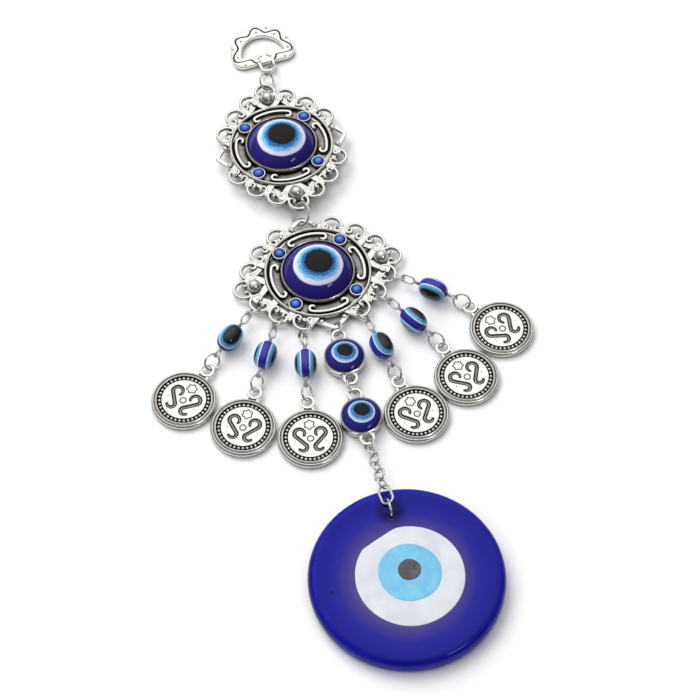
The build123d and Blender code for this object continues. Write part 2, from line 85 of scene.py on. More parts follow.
class Shape:
    """Points in millimetres, the faces between them, and how dark each point is."""

    def __init__(self):
        self.points = []
        self.faces = []
        self.dark = []

    def grid(self, rows, dark, closed=False, wrap=True, caps=False):
        """Quads between rows of points; each row may close on itself."""
        base = len(self.points)
        count = len(rows[0])
        for row, shade in zip(rows, dark):
            self.points += [Vector(p) for p in row]
            self.dark += shade if isinstance(shade, list) else [shade] * count
        last = len(rows) if closed else len(rows) - 1
        for i in range(last):
            this = base + i * count
            following = base + (i + 1) % len(rows) * count
            for j in range(count if wrap else count - 1):
                n = (j + 1) % count
                self.faces.append((this + j, this + n, following + n, following + j))
        if caps:
            self.faces.append(tuple(base + j for j in reversed(range(count))))
            self.faces.append(tuple(base + (len(rows) - 1) * count + j for j in range(count)))

    def lathe(self, profile, centre=(0, 0), segments=64):
        """A profile of (radius, height, darkness) turned about a line along Z."""
        x, y = centre[:2]
        turn = full_turn(segments)
        rows = []
        for radius, height, _ in profile:
            rows.append([(x + radius * cos(a), y + radius * sin(a), height) for a in turn])
        self.grid(rows, [dark for _, _, dark in profile])

    def sweep(self, path, section, closed=False):
        """A section of (across, up, darkness) along a path of points that lies level."""
        rows = []
        count = len(path)
        for i, point in enumerate(path):
            before = path[(i - 1) % count] if closed or i else path[0]
            after = path[(i + 1) % count] if closed or i < count - 1 else path[-1]
            along = Vector((after[0] - before[0], after[1] - before[1], 0)).normalized()
            across = Vector((along.y, -along.x, 0))
            rows.append([Vector(point) + across * a + UP * b for a, b, _ in section])
        self.grid(rows, [[s[2] for s in section]] * count, closed=closed, caps=not closed)

    def tube(self, path, radius, closed=False, sides=14, dark=0.0):
        """A round wire along a path of points in space."""
        rows = []
        count = len(path)
        path = [Vector(p) for p in path]
        normal = None
        for i in range(count):
            before = path[(i - 1) % count] if closed or i else path[0]
            after = path[(i + 1) % count] if closed or i < count - 1 else path[-1]
            along = (after - before).normalized()
            if normal is None:
                normal = along.orthogonal().normalized()
            normal = (normal - along * normal.dot(along)).normalized()
            side = along.cross(normal)
            row = [path[i] + normal * cos(a) * radius + side * sin(a) * radius for a in full_turn(sides)]
            rows.append(row)
        self.grid(rows, [dark] * count, closed=closed, caps=not closed)

    def ball(self, centre, radius, fade, low=-90):
        """A ball or its upper part, darkened at its foot with patina and painted shade: fade is the darkness
        there, and how fast it goes.
        """
        steps = 12
        rows = []
        shades = []
        for k in range(steps + 1):
            t = k / steps
            a = radians(low + (90 - low) * k / steps)
            out = radius * cos(a)
            height = centre[2] + radius * sin(a)
            rows.append([(centre[0] + out * cos(b), centre[1] + out * sin(b), height) for b in full_turn(20)])
            shades.append(max(0.0, fade[0] - fade[1] * t))
        self.grid(rows, shades)

    def make(self, name, matrix, material, body, slot, *nodes, crease=40):
        """Turn it into a piece of a body, in that frame; edges sharper than crease degrees stay sharp."""
        mesh = bpy.data.meshes.new(name)
        mesh.from_pydata([p * MM for p in self.points], [], self.faces)
        # This darkness attribute carries patina and painted shade: dark bar sides, dark feet round balls and
        # dots, and the stones' shaded feet.
        shade = mesh.attributes.new("patina_and_shade", "FLOAT", "POINT")
        shade.data.foreach_set("value", self.dark)
        mesh.update()
        clean(mesh, crease)
        return place(name, mesh, matrix, material, body, nodes)


def clean(mesh, crease):
    """Merge doubled points, turn the faces outward and shade them smooth between creases."""
    bm = bmesh.new()
    bm.from_mesh(mesh)
    bmesh.ops.remove_doubles(bm, verts=bm.verts, dist=2e-7)
    bmesh.ops.dissolve_degenerate(bm, edges=bm.edges, dist=1e-7)
    bmesh.ops.recalc_face_normals(bm, faces=bm.faces)
    for face in bm.faces:
        face.smooth = True
    for edge in bm.edges:
        if len(edge.link_faces) == 2 and degrees(edge.calc_face_angle(0)) > crease:
            edge.smooth = False
    bm.to_mesh(mesh)
    bm.free()


def place(name, mesh, matrix, material, body, nodes):
    """Put a mesh in the scene as a piece of a body; own_place keeps each point's own coordinates."""
    own = mesh.attributes.new("own_place", "FLOAT_VECTOR", "POINT")
    own.data.foreach_set("vector", [c for v in mesh.vertices for c in v.co])
    metres = matrix.copy()
    metres.translation = matrix.translation * MM
    mesh.transform(metres)
    piece = bpy.data.objects.new(name, mesh)
    bpy.context.scene.collection.objects.link(piece)
    mesh.materials.append(material)
    bpy.context.view_layer.update()
    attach(piece, body)
    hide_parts(*nodes)
    return piece


# ---------------------------------------------------------------- materials


def linear(r, g, b):
    """An eight-bit screen colour as a linear one."""

    def one(v):
        v /= 255
        return v / 12.92 if v <= 0.04045 else ((v + 0.055) / 1.055) ** 2.4

    return (one(r), one(g), one(b), 1.0)


WHITE = (1, 1, 1, 1)
BLACK = (0, 0, 0, 1)


class Nodes:
    """A material and short ways to add nodes to it."""

    def __init__(self, name, roughness, metallic=0.0, specular=0.5):
        self.material = bpy.data.materials.new(name)
        self.material.use_nodes = True
        self.tree = self.material.node_tree
        self.shader = self.tree.nodes["Principled BSDF"]
        self.shader.inputs["Roughness"].default_value = roughness
        self.shader.inputs["Metallic"].default_value = metallic
        self.shader.inputs["IOR"].default_value = 1.5
        self.shader.inputs["Specular IOR Level"].default_value = specular

    def add(self, kind, **inputs):
        """A node of a kind, with its inputs fed by name."""
        node = self.tree.nodes.new(kind)
        for key, value in inputs.items():
            self.feed(node.inputs[key], value)
        return node

    def feed(self, slot, value):
        """Link a socket to an input, or set the input to a plain value."""
        if isinstance(value, bpy.types.NodeSocket):
            self.tree.links.new(value, slot)
        else:
            slot.default_value = value

    def math(self, operation, a, b=0.0, c=0.0, clamp=False):
        node = self.tree.nodes.new("ShaderNodeMath")
        node.operation = operation
        node.use_clamp = clamp
        for slot, value in zip(node.inputs, (a, b, c)):
            self.feed(slot, value)
        return node.outputs[0]

    def attribute(self, name):
        node = self.tree.nodes.new("ShaderNodeAttribute")
        node.attribute_name = name
        return node.outputs

    def place(self):
        """Where a point is in its piece's own frame, in metres."""
        return self.attribute("own_place")["Vector"]

    def axes(self):
        """The same, as X, Y and Z."""
        node = self.tree.nodes.new("ShaderNodeSeparateXYZ")
        self.feed(node.inputs[0], self.place())
        return node.outputs

    def length(self, x, y):
        """How long the vector (x, y) is."""
        node = self.tree.nodes.new("ShaderNodeVectorMath")
        node.operation = "LENGTH"
        self.feed(node.inputs[0], self.add("ShaderNodeCombineXYZ", X=x, Y=y).outputs[0])
        return node.outputs["Value"]

    def noise(self, scale, detail=3.0, rough=0.5, distortion=0.0):
        node = self.add("ShaderNodeTexNoise", Vector=self.place(), Scale=scale, Detail=detail)
        node.inputs["Roughness"].default_value = rough
        node.inputs["Distortion"].default_value = distortion
        return node.outputs["Fac"]

    def ripple(self, *settings):
        """Noise about zero."""
        return self.math("SUBTRACT", self.noise(*settings), 0.5)

    def ramp(self, value, stops):
        node = self.tree.nodes.new("ShaderNodeValToRGB")
        points = node.color_ramp.elements
        while len(points) < len(stops):
            points.new(1.0)
        for point, (where, colour) in zip(points, stops):
            point.position = where
            point.color = colour
        self.feed(node.inputs[0], value)
        return node.outputs["Color"]

    def mix(self, factor, a, b):
        node = self.tree.nodes.new("ShaderNodeMix")
        node.data_type = "RGBA"
        for slot, value in ((node.inputs["Factor"], factor), (node.inputs[6], a), (node.inputs[7], b)):
            self.feed(slot, value)
        return node.outputs[2]

    def colour(self, value):
        self.feed(self.shader.inputs["Base Color"], value)

    def rough(self, value):
        self.feed(self.shader.inputs["Roughness"], value)

    def bump(self, height, strength, distance):
        node = self.add("ShaderNodeBump", Height=height, Strength=strength, Distance=distance)
        self.feed(self.shader.inputs["Normal"], node.outputs["Normal"])


CREVICE = 0.9 * MM


def silver(name, bright, dark, wear, grain):
    """Antique silver: bright where rubbed, dark where the darkness attribute says (patina and painted shade),
    and dark in crevices with painted shade.
    """
    n = Nodes(name, 0.25, metallic=1.0)
    blot = n.noise(900.0, 4.0, 0.6)
    fine = n.noise(5200.0, 3.0, 0.6)
    # Painted shade: ambient occlusion darkens the colour in crevices and close to other parts and the floor.
    crevice_shade = n.add("ShaderNodeAmbientOcclusion", Distance=CREVICE)
    crevice_shade.samples = 6
    tarnish_and_shade = n.math("MULTIPLY", n.math("SUBTRACT", 1.0, crevice_shade.outputs["AO"], clamp=True), 0.62)
    tarnish_and_shade = n.math("ADD", tarnish_and_shade, n.attribute("patina_and_shade")["Fac"])
    tarnish_and_shade = n.math("MULTIPLY_ADD", n.math("SUBTRACT", blot, 0.5), wear, tarnish_and_shade)
    tarnish_and_shade = n.math("MULTIPLY_ADD", n.math("SUBTRACT", fine, 0.5), wear * 0.6, tarnish_and_shade)
    middle = tuple((a * 0.45 + b * 0.55) for a, b in zip(bright, dark))
    n.colour(n.ramp(tarnish_and_shade, [(0.12, bright), (0.5, middle), (0.92, dark)]))
    n.rough(n.math("MULTIPLY_ADD", tarnish_and_shade, 0.3, n.math("MULTIPLY_ADD", fine, 0.14, 0.12), clamp=True))
    n.bump(n.math("ADD", n.math("MULTIPLY", fine, 0.5), blot), grain, 0.06 * MM)
    return n.material


SILVER = silver("antique_silver_cast", linear(236, 233, 227), linear(34, 28, 24), 0.4, 0.3)
WIRE = silver("silver_wire", linear(234, 231, 226), linear(56, 48, 42), 0.4, 0.12)


def eye_material(name, radius, stops, offset, speckle, scale):
    """Rings of fused glass: the further in, the more they are pushed off centre."""
    n = Nodes(name, 0.03, specular=0.2)
    x, y, _ = n.axes()
    reach = n.math("DIVIDE", n.length(x, y), radius * MM)
    inward = n.math("SUBTRACT", 1.0, reach, clamp=True)
    shift_x = n.math("MULTIPLY_ADD", inward, -offset[0] * MM, x)
    shift_y = n.math("MULTIPLY_ADD", inward, -offset[1] * MM, y)
    value = n.math("DIVIDE", n.length(shift_x, shift_y), radius * MM)
    wobble = n.ripple(260.0, 2.0)
    grit = n.ripple(scale, 5.0, 0.75)
    band = n.ramp(value, [(0.36, BLACK), (0.46, WHITE), (0.60, WHITE), (0.68, BLACK)])
    value = n.math("MULTIPLY_ADD", wobble, 0.05, value)
    value = n.math("MULTIPLY_ADD", n.math("MULTIPLY", grit, band), speckle, value)
    n.colour(n.ramp(value, stops))
    n.bump(n.noise(180.0, 1.0), 0.05, 0.2 * MM)
    return n.material


EYE_R, LINK_EYE_R = 9.4, 5.05
NAVY = linear(40, 34, 118)
CABOCHON_STOPS = [
    (0.0, linear(4, 4, 5)),
    (0.40, linear(8, 8, 10)),
    (0.425, linear(34, 92, 150)),
    (0.49, linear(46, 118, 182)),
    (0.53, linear(96, 168, 214)),
    (0.60, linear(140, 190, 226)),
    (0.64, linear(222, 224, 242)),
    (0.71, linear(222, 222, 244)),
    (0.74, NAVY),
    (1.0, linear(36, 28, 100)),
]
LINK_STOPS = [
    (0.0, linear(4, 4, 6)),
    (0.43, linear(9, 11, 16)),
    (0.46, linear(84, 146, 204)),
    (0.49, linear(46, 96, 168)),
    (0.54, linear(56, 112, 180)),
    (0.60, linear(108, 172, 218)),
    (0.66, linear(190, 212, 236)),
    (0.69, linear(200, 216, 238)),
    (0.71, NAVY),
    (1.0, linear(34, 28, 104)),
]
LOWER_CABOCHON = eye_material("lower_cabochon_glass", EYE_R, CABOCHON_STOPS, (0.55, 0.4), 0.34, 1500.0)
UPPER_CABOCHON = eye_material("upper_cabochon_glass", EYE_R, CABOCHON_STOPS, (-0.05, -0.45), 0.34, 1500.0)
LINK_GLASS = eye_material("link_eye_glass", LINK_EYE_R, LINK_STOPS, (0.55, 1.2), 0.26, 2600.0)


GEM_SHADED_STOPS = [(0.1, linear(60, 140, 222)), (0.5, linear(28, 88, 186)), (1.0, linear(20, 40, 110))]


def gem_material():
    """Blue stone: painted light on its top, painted shade deep at its foot."""
    n = Nodes("blue_stone", 0.05)
    value = n.math("MULTIPLY_ADD", n.ripple(1200.0, 2.0), 0.5, n.attribute("patina_and_shade")["Fac"])
    n.colour(n.ramp(value, GEM_SHADED_STOPS))
    return n.material


GEM = gem_material()
BEAD_R = 3.0
BEAD_STOPS = [
    (0.0, linear(40, 38, 150)),
    (0.30, linear(34, 32, 140)),
    (0.35, linear(46, 52, 160)),
    (0.375, linear(222, 232, 244)),
    (0.425, linear(214, 228, 242)),
    (0.455, linear(112, 178, 212)),
    (0.62, linear(76, 150, 190)),
    (0.72, linear(52, 110, 150)),
    (0.765, linear(14, 18, 26)),
    (1.0, linear(26, 19, 19)),
]


def bead_material():
    """A slab of blue between white lines and light blue, with a dark eye each side."""
    n = Nodes("bead_glass", 0.05)
    _, _, z = n.axes()
    side = n.math("DIVIDE", n.math("ABSOLUTE", z), BEAD_R * MM)
    n.colour(n.ramp(n.math("MULTIPLY_ADD", n.ripple(240.0, 2.0), 0.07, side), BEAD_STOPS))
    n.bump(n.noise(300.0, 1.0), 0.05, 0.2 * MM)
    return n.material


BEAD = bead_material()


def glass(name, deep, light, scale):
    """Polished glass with slow clouds of a second colour in it."""
    n = Nodes(name, 0.05, specular=0.2)
    cloud = n.noise(scale, 3.0, 0.55, 0.6)
    n.colour(n.ramp(cloud, [(0.35, deep), (0.75, light)]))
    n.bump(n.noise(90.0, 1.0), 0.08, 0.4 * MM)
    return n.material


COBALT_AND_SHEEN_STOPS = [
    (0.50, linear(84, 76, 128)),
    (0.60, linear(62, 54, 132)),
    (0.72, linear(32, 28, 140)),
    (0.84, linear(20, 19, 138)),
    (0.92, linear(16, 18, 126)),
    # A painted sheen: a brighter band on the rounded rim.
    (0.965, linear(22, 24, 158)),
    (1.0, linear(14, 14, 104)),
]


def cobalt_glass(haze, knot, radius):
    """Deep cobalt glass: hazy round the white layer, with a painted sheen near its edge, dark at the bail,
    with seeds.
    """
    n = Nodes("cobalt_disc_glass", 0.04, specular=0.16)
    x, y, _ = n.axes()

    def reach(centre, out):
        """How far a point is from a centre, as a share of a radius."""
        away = n.length(n.math("SUBTRACT", x, centre[0] * MM), n.math("SUBTRACT", y, centre[1] * MM))
        return n.math("DIVIDE", away, out * MM)

    value = n.math("MULTIPLY_ADD", n.ripple(90.0, 3.0), 0.14, reach((haze[0] * 0.3, haze[1]), radius))
    dark = n.ramp(reach((0.0, knot), 4.2), [(0.55, WHITE), (1.0, BLACK)])
    body = n.mix(n.math("MULTIPLY", dark, 0.8), n.ramp(value, COBALT_AND_SHEEN_STOPS), linear(8, 7, 66))
    seeds = n.add("ShaderNodeTexVoronoi", Vector=n.place(), Scale=150.0)
    spots = n.ramp(seeds.outputs["Distance"], [(0.05, WHITE), (0.11, BLACK)])
    rare = n.math("GREATER_THAN", n.noise(140.0, 1.0), 0.66)
    n.colour(n.mix(n.math("MULTIPLY", spots, n.math("MULTIPLY", rare, 0.8)), body, linear(6, 6, 40)))
    n.bump(n.noise(80.0, 1.0), 0.06, 0.4 * MM)
    return n.material


# ---------------------------------------------------------------- castings


def rounded(half, low, top, edge=0.22, dark_side=0.75, dark_top=0.0):
    """The section of a raised line or bar: soft top edges, lower sides darkened with patina and painted
    shade.
    """
    section = [(-half, low, dark_side), (-half, top - edge, dark_side * 0.55)]
    for k in range(1, 6):
        a = radians(90 * k / 6)
        shade = dark_top + dark_side * 0.8 * (1 - k / 6) ** 1.5
        section.append((-half + edge * (1 - cos(a)), top - edge + edge * sin(a), shade))
    section.append((-half * 0.35, top, dark_top))
    mirror = [(-a, b, d) for a, b, d in reversed(section)]
    return section + mirror


def arc(middle, radius, start, end, count, shrink=0.0):
    """Points along an arc between two angles in degrees, whose radius may shrink on the way."""
    points = []
    for k in range(count + 1):
        t = k / count
        a = radians(start + (end - start) * t)
        r = radius * (1 - shrink * t)
        points.append((middle[0] + r * cos(a), middle[1] + r * sin(a), 0))
    return points


def c_scroll(centre, angle, radius, reach, curl, turn, steps):
    """Points of a C-scroll: a bow with both ends curled in."""
    low, high = angle - reach, angle + reach
    inner = radius - curl
    first = (centre[0] + inner * cos(radians(low)), centre[1] + inner * sin(radians(low)))
    second = (centre[0] + inner * cos(radians(high)), centre[1] + inner * sin(radians(high)))
    head = arc(first, curl, low, low - turn, 14, 0.25)
    bow = arc(centre, radius, low, high, steps)
    tail = arc(second, curl, high, high + turn, 14, 0.25)
    return head[::-1] + bow[1:-1] + tail


def strap(shape, start, end, half, low, top, dark=0.62, edge=0.16):
    """A flat strap between two points, with soft edges."""
    count = 8
    path = []
    for k in range(count + 1):
        x = start[0] + (end[0] - start[0]) * k / count
        y = start[1] + (end[1] - start[1]) * k / count
        path.append((x, y, 0))
    shape.sweep(path, rounded(half, low, top, edge, dark, 0.04))


def dome(radius, shoulder, rise, rings):
    """The profile of a shallow glass dome above its shoulder."""
    ball = (radius ** 2 + rise ** 2) / (2 * rise)
    profile = []
    for k in range(1, rings + 1):
        r = radius * cos(radians(90 * k / rings))
        profile.append((r, shoulder + rise - (ball - sqrt(ball * ball - r * r)), 0.0))
    return profile


# Half the long and the short diagonal of the lattice's diamond
LONG, SHORT = 22.0, 18.1
# Border scrolls: their angle in one quarter, and how far out their middles are
SCROLLS = ((0, 20.9), (16.5, 18.5), (37, 17.0), (61, 16.2))
# Straps across the diamond: where each meets the diamond's side, and how far out it ends
CROSSINGS = ((-0.58, 1.16), (-0.15, 1.24), (0.28, 1.22), (0.62, 1.12))
STONE_AT, STONE_R = 12.2, 1.5
PLATE_R = 14.4
# Profiles of (radius, height, darkness)
RIMS = [
    (0, 0, 0.5), (14.5, 0, 0.5), (14.75, 0.2, 0.7), (14.8, 0.9, 0.8), (14.8, 1.6, 0.35), (14.72, 2.12, 0.05),
    (14.5, 2.36, 0.0), (14.32, 2.4, 0.0), (14.15, 2.34, 0.0), (13.98, 2.1, 0.25), (13.9, 1.7, 0.75),
    (13.85, 1.25, 0.95), (13.6, 1.2, 0.72), (12.2, 1.2, 0.5), (10.6, 1.2, 0.72), (10.25, 1.25, 0.95),
    (10.2, 1.9, 0.7), (10.16, 2.6, 0.2), (10.02, 2.9, 0.0), (9.85, 3.0, 0.0), (9.68, 2.92, 0.1),
    (9.55, 2.7, 0.6), (9.5, 1.25, 0.95), (9.3, 1.2, 0.9), (0, 1.2, 0.9),
]
STONE_SEAT = [
    (2.02, 1.1, 0.9), (2.0, 1.8, 0.3), (1.97, 2.2, 0.0), (1.88, 2.3, 0.0), (1.68, 2.3, 0.0), (1.6, 2.1, 0.5),
    (1.58, 1.2, 0.95), (0, 1.2, 0.9),
]
PLATE = ((PLATE_R, 0.3, 0.8), (16.5, 0.3, 0.8), (16.6, 0.6, 0.7), (16.4, 0.92, 0.5), (PLATE_R, 0.95, 0.62))
PAD = [(0.9, 0.0, 0.8), (1.0, 0.3, 0.8), (1.0, 1.3, 0.5), (0.85, 1.7, 0.12), (0.5, 1.88, 0.0), (0, 1.92, 0.0)]
STUD_COLLAR = [(2.35, 0.0, 0.85), (2.35, 1.3, 0.8), (2.3, 1.5, 0.35), (2.12, 1.62, 0.55)]


def quarters(x, y):
    """A point and its mirror images in X and Y."""
    return [(i * x, j * y) for i in (1, -1) for j in (1, -1)]


def stone_spot(k):
    return level(45 + 90 * k) * STONE_AT


def add_channel(s):
    """The two rims, and in the channel between them four stone seats and four scrolls."""
    s.lathe(RIMS, segments=160)
    for k in range(4):
        s.lathe(STONE_SEAT, stone_spot(k), 40)
        path = c_scroll((0, 0), 90 * k, 12.85, 22, 0.98, 205, 26)
        s.sweep(path, rounded(0.42, 1.1, 2.1, 0.24, 0.85))
        for end in (path[0], path[-1]):
            s.ball((end[0], end[1], 1.62), 0.54, (0.8, 1.2))


def add_plate(s):
    """A low plate behind the lattice, in four parts, broken at the corners where the rings hang."""
    steps = 24
    count = steps + 1
    for i in range(4):
        angles = [90 * i + 15 + 60 * k / steps for k in range(count)]
        rows = [[level(a) * radius + UP * height for a in angles] for radius, height, _ in PLATE]
        s.grid(rows, [dark for _, _, dark in PLATE], closed=True, wrap=False)
        base = len(s.points) - len(PLATE) * count
        s.faces.append(tuple(base + row * count for row in range(5)))
        s.faces.append(tuple(base + row * count + steps for row in reversed(range(5))))


def add_lattice(s):
    """The diamond, the straps laid over it, and a chevron and two knobs at its blunt corners."""
    end_x, end_y = 19.3, 2.6
    corner = 3.0
    corner_y = SHORT - corner * (SHORT - end_y) / end_x
    for i, j in quarters(1, 1):
        strap(s, (i * end_x, j * end_y), (i * corner, j * corner_y), 1.02, 0.0, 1.28)
        strap(s, (i * 16.9, j * 5.3), (i * 5.2, j * 14.9), 0.95, 0.2, 1.36, 0.5, 0.14)
    for j in (1, -1):
        across = [0.37 * k for k in range(-10, 11)]
        path = [(u * j, j * (18.45 - 0.823 * (sqrt(u * u + 0.25) - 0.5)), 0) for u in across]
        s.sweep(path, rounded(0.62, 1.05, 1.72, 0.2, 0.6))
        for side in (1, -1):
            s.ball((side * 3.2, j * 15.75, 1.1), 0.95, (0.9, 1.3))
    way = Vector((LONG, SHORT)).normalized()
    for step, reach in CROSSINGS:
        far = (LONG * (reach + step) / 2, SHORT * (reach - step) / 2)
        back = 0.0
        while hypot(far[0] - way.x * back, far[1] - way.y * back) > PLATE_R + 0.05 and back < 6:
            back += 0.1
        near = (far[0] - way.x * back, far[1] - way.y * back)
        for start, end in zip(quarters(*near), quarters(*far)):
            strap(s, start, end, 0.95, 0.1, 1.8, 0.6, 0.12)


def add_border(s):
    """C-scrolls all round the edge, and a pad between each two."""
    for angle, out in SCROLLS:
        for turned in dict.fromkeys(a % 360 for a in (angle, -angle, 180 - angle, 180 + angle)):
            path = c_scroll(level(turned) * out, turned, 2.7, 108, 0.92, 205, 30)
            s.sweep(path, rounded(0.44, 1.0, 1.92, 0.34, 0.62))
            for end in (path[0], path[-1]):
                s.ball((end[0], end[1], 1.42), 0.56, (0.7, 1.1))
    for (a1, r1), (a2, r2) in zip(SCROLLS, SCROLLS[1:]):
        spot = (level(a1) * r1 + level(a2) * r2) * 0.5
        for centre in quarters(spot.x, spot.y):
            s.lathe(PAD, centre, 28)


def add_studs(s):
    """A domed stud on a small collar at each sharp corner."""
    profile = list(STUD_COLLAR)
    for k in range(1, 11):
        a = radians(90 * k / 10)
        profile.append((2.1 * cos(a), 1.65 + 2.3 * sin(a), max(0.0, 0.5 - 0.9 * k / 10)))
    for x in (18.05, -18.05):
        s.lathe(profile, (x, 0), 48)


def casting(name, matrix, glass_of_eye):
    """One openwork medallion, with its glass eye and its four stones."""
    body = f"{name}_medallion"
    s = Shape()
    for add in (add_channel, add_plate, add_lattice, add_border, add_studs):
        add(s)
    s.make(f"{name}_casting", matrix, SILVER, body, "antique_silver", body)
    s = Shape()
    foot = [(EYE_R - 0.05, 1.25, 0.0), (EYE_R, 1.6, 0.0), (EYE_R, 2.6, 0.0)]
    s.lathe(foot + dome(EYE_R, 2.6, 4.7, 32), segments=128)
    s.make(f"{name}_eye_glass", matrix, glass_of_eye, body, "eye_glass", f"{name}_eye")
    # The stones' darkness is painted shade: none at the dome's top, most at its foot.
    stone = [(STONE_R, 1.25, 1.0), (STONE_R + 0.06, 1.9, 1.0), (STONE_R, 2.12, 0.9)]
    for i in range(1, 9):
        a = radians(90 * i / 8)
        stone.append((STONE_R * cos(a), 2.12 + 0.78 * sin(a), cos(a)))
    s = Shape()
    for k in range(4):
        s.lathe(stone, stone_spot(k), 36)
    s.make(f"{name}_stones", matrix, GEM, body, "gem_glass", f"{name}_gems")


# The lower medallion lies level between the rings at its two ends
CORNER_MID = (1.05 + 1.7) / 2
low_end = joint_at("drop_ring")
high_end = joint_at("lower_medallion")
lower_y = (high_end - low_end).normalized()
lower_frame = frame_at((low_end + high_end) / 2 - UP * CORNER_MID, lower_y.cross(UP))
# The upper one is turned in its plane, and tipped on its rings
UPPER_TURN, UPPER_TILT = 90.8, 3.2
turn = level(UPPER_TURN)
tilt = radians(UPPER_TILT)
upper_x = turn * cos(tilt) - UP * sin(tilt)
upper_z = UP * cos(tilt) + turn * sin(tilt)
upper_frame = frame_at(joint_at("medallion_ring") + upper_x * 23.6 - upper_z * 1.45, upper_x, upper_z)
casting("lower", lower_frame, LOWER_CABOCHON)
casting("upper", upper_frame, UPPER_CABOCHON)

# ---------------------------------------------------------------- rings

WIRE_SIDES = 18


def ring_frame(node):
    """The middle of a ring-shaped node, its long way, its normal, and its half sizes."""
    points = [Vector(v.co) / MM for v in frame["nodes"][node].data.vertices]
    middle = sum(points, Vector()) / len(points)
    far = max(points, key=lambda p: (p - middle).length)
    x = (far - middle).normalized()
    first = x.orthogonal().normalized()
    second = x.cross(first)
    normals = [first * cos(pi * k / 90) + second * sin(pi * k / 90) for k in range(90)]
    thickness = [max(abs((p - middle).dot(n)) for p in points[::3]) for n in normals]
    normal = normals[thickness.index(min(thickness))]
    y = normal.cross(x).normalized()
    halves = []
    for axis in (x, y, normal):
        reach = [(p - middle).dot(axis) for p in points]
        halves.append((max(reach) - min(reach)) / 2)
        middle = middle + axis * (max(reach) + min(reach)) / 2
    return middle, x, normal, halves


def wire_ring(node, seam):
    """A jump ring: round wire bent round, its two ends meeting at a hairline seam."""
    middle, x, normal, halves = ring_frame(node)
    wire = halves[2]
    mean = (halves[0] + halves[1]) / 2 - wire
    gap = 0.05 / mean
    steps = 96
    path = []
    for k in range(steps + 1):
        a = seam + gap + (2 * pi - 2 * gap) * k / steps
        path.append((mean * cos(a), mean * sin(a), 0))
    s = Shape()
    s.tube(path, wire, sides=WIRE_SIDES, dark=0.10)
    for end in (slice(0, WIRE_SIDES), slice(-WIRE_SIDES, None)):
        s.dark[end] = [0.45] * WIRE_SIDES
    s.make(f"{node}_wire", frame_at(middle, x, normal), WIRE, node, "wire", node)


def oval_ring(node):
    """A long ring of round wire with two straight sides."""
    middle, x, normal, halves = ring_frame(node)
    wire = halves[2]
    half = halves[1] - wire
    reach = halves[0] - wire - half
    path = arc((reach, 0), half, -90, 90, 48) + arc((-reach, 0), half, 90, 270, 48)
    s = Shape()
    s.tube(path, wire, closed=True, sides=WIRE_SIDES, dark=0.1)
    s.make(f"{node}_wire", frame_at(middle, x, normal), WIRE, node, "wire", node)


round_rings = sorted(n for n in frame["nodes"] if "ring" in n and n != "oval_ring")
for index, node in enumerate(round_rings):
    wire_ring(node, radians(70 + 137.5 * index))
oval_ring("oval_ring")

# ---------------------------------------------------------------- coins


def ease(t):
    """A smooth step from 0 to 1."""
    t = min(max(t, 0.0), 1.0)
    return t * t * (3 - 2 * t)


def mirrored_s(side):
    """An S-scroll: a hooked top that leans in and a foot that turns out."""
    points = []
    for k in range(25):
        a = radians(212 - 250 * k / 24)
        points.append((2.78 + 1.34 * cos(a), 1.35 + 1.34 * sin(a)))
    for k in range(21):
        a = radians(150 + 178 * k / 20)
        points.append((2.15 + 1.08 * cos(a), -2.85 + 1.08 * sin(a)))
    return [(side * px, py) for px, py in points]


def distance_to(points, x, y):
    """How far (x, y) is from a line of points, and how far along the line that is, from 0 to 1."""
    best = 99.0
    along = 0.0
    count = len(points) - 1
    for i in range(count):
        ax, ay = points[i]
        bx, by = points[i + 1]
        dx, dy = bx - ax, by - ay
        length = dx * dx + dy * dy
        t = 0 if length == 0 else max(0, min(1, ((x - ax) * dx + (y - ay) * dy) / length))
        d = hypot(x - ax - t * dx, y - ay - t * dy)
        if d < best:
            best, along = d, (i + t) / count
    return best, along


COIN_R = 8.7
RIM_R, LIP_R, GROOVE_R, FIELD_R = 8.1, 7.65, 7.1, 5.9
PEARLS, PEARL_AT, PEARL_R = 36, 6.5, 0.49
FLOWER_Y, DOT_Y = 3.82, -0.36
EAR_R = 1.7
CARVED = [mirrored_s(1), mirrored_s(-1)]
COIN_BACK = ((0, 0, 0.3), (8.4, 0, 0.3), (8.62, 0.1, 0.3), (COIN_R, 0.35, 0.25), (COIN_R, 1.0, 0.2))


def pearl_height(r, a):
    """Height and darkness in the groove, with its row of pearls."""
    step = 2 * pi / PEARLS
    local = (a / step - floor(a / step) - 0.5) * step * PEARL_AT
    d = hypot(local, r - PEARL_AT)
    if d < PEARL_R:
        rise = sqrt(1 - (d / PEARL_R) ** 2)
        return 1.24 + 0.44 * rise, 0.95 - 0.95 * ease(rise * 1.35)
    return 1.20, 0.88


def field_height(r, a):
    """Height and darkness of the middle: two mirrored S shapes, a flower above and a small ring."""
    x = r * sin(a)
    y = r * cos(a)
    height, dark = 1.62, 0.05 + 0.22 * ease((r - 5.5) / 0.4)
    for points in CARVED:
        d, t = distance_to(points, x, y)
        width = 0.20 + 0.36 * sin(pi * min(1.0, 0.06 + t * 0.86)) ** 0.6
        if d < width + 0.1:
            cut = 1 - ease((d - width * 0.72) / (width * 0.28 + 0.05))
            height -= 0.26 * cut
            dark = max(dark, 0.05 + 0.95 * cut * (0.5 + 0.5 * ease(d / width * 1.2)))
    for side in (1, -1):
        d, _ = distance_to([(side * 3.95, -0.85), (side * 4.28, -1.5)], x, y)
        dark = max(dark, 0.8 * (1 - ease(d / 0.15)))
    petal = 1.24 + 0.17 * cos(6 * atan2(x, y - FLOWER_Y))
    for centre, radius, width in ((DOT_Y, 0.82, 0.26), (FLOWER_Y, petal, 0.25)):
        cut = 1 - ease(abs(hypot(x, y - centre) - radius) / width)
        height -= 0.12 * cut
        dark = max(dark, 0.85 * cut)
    return height, dark


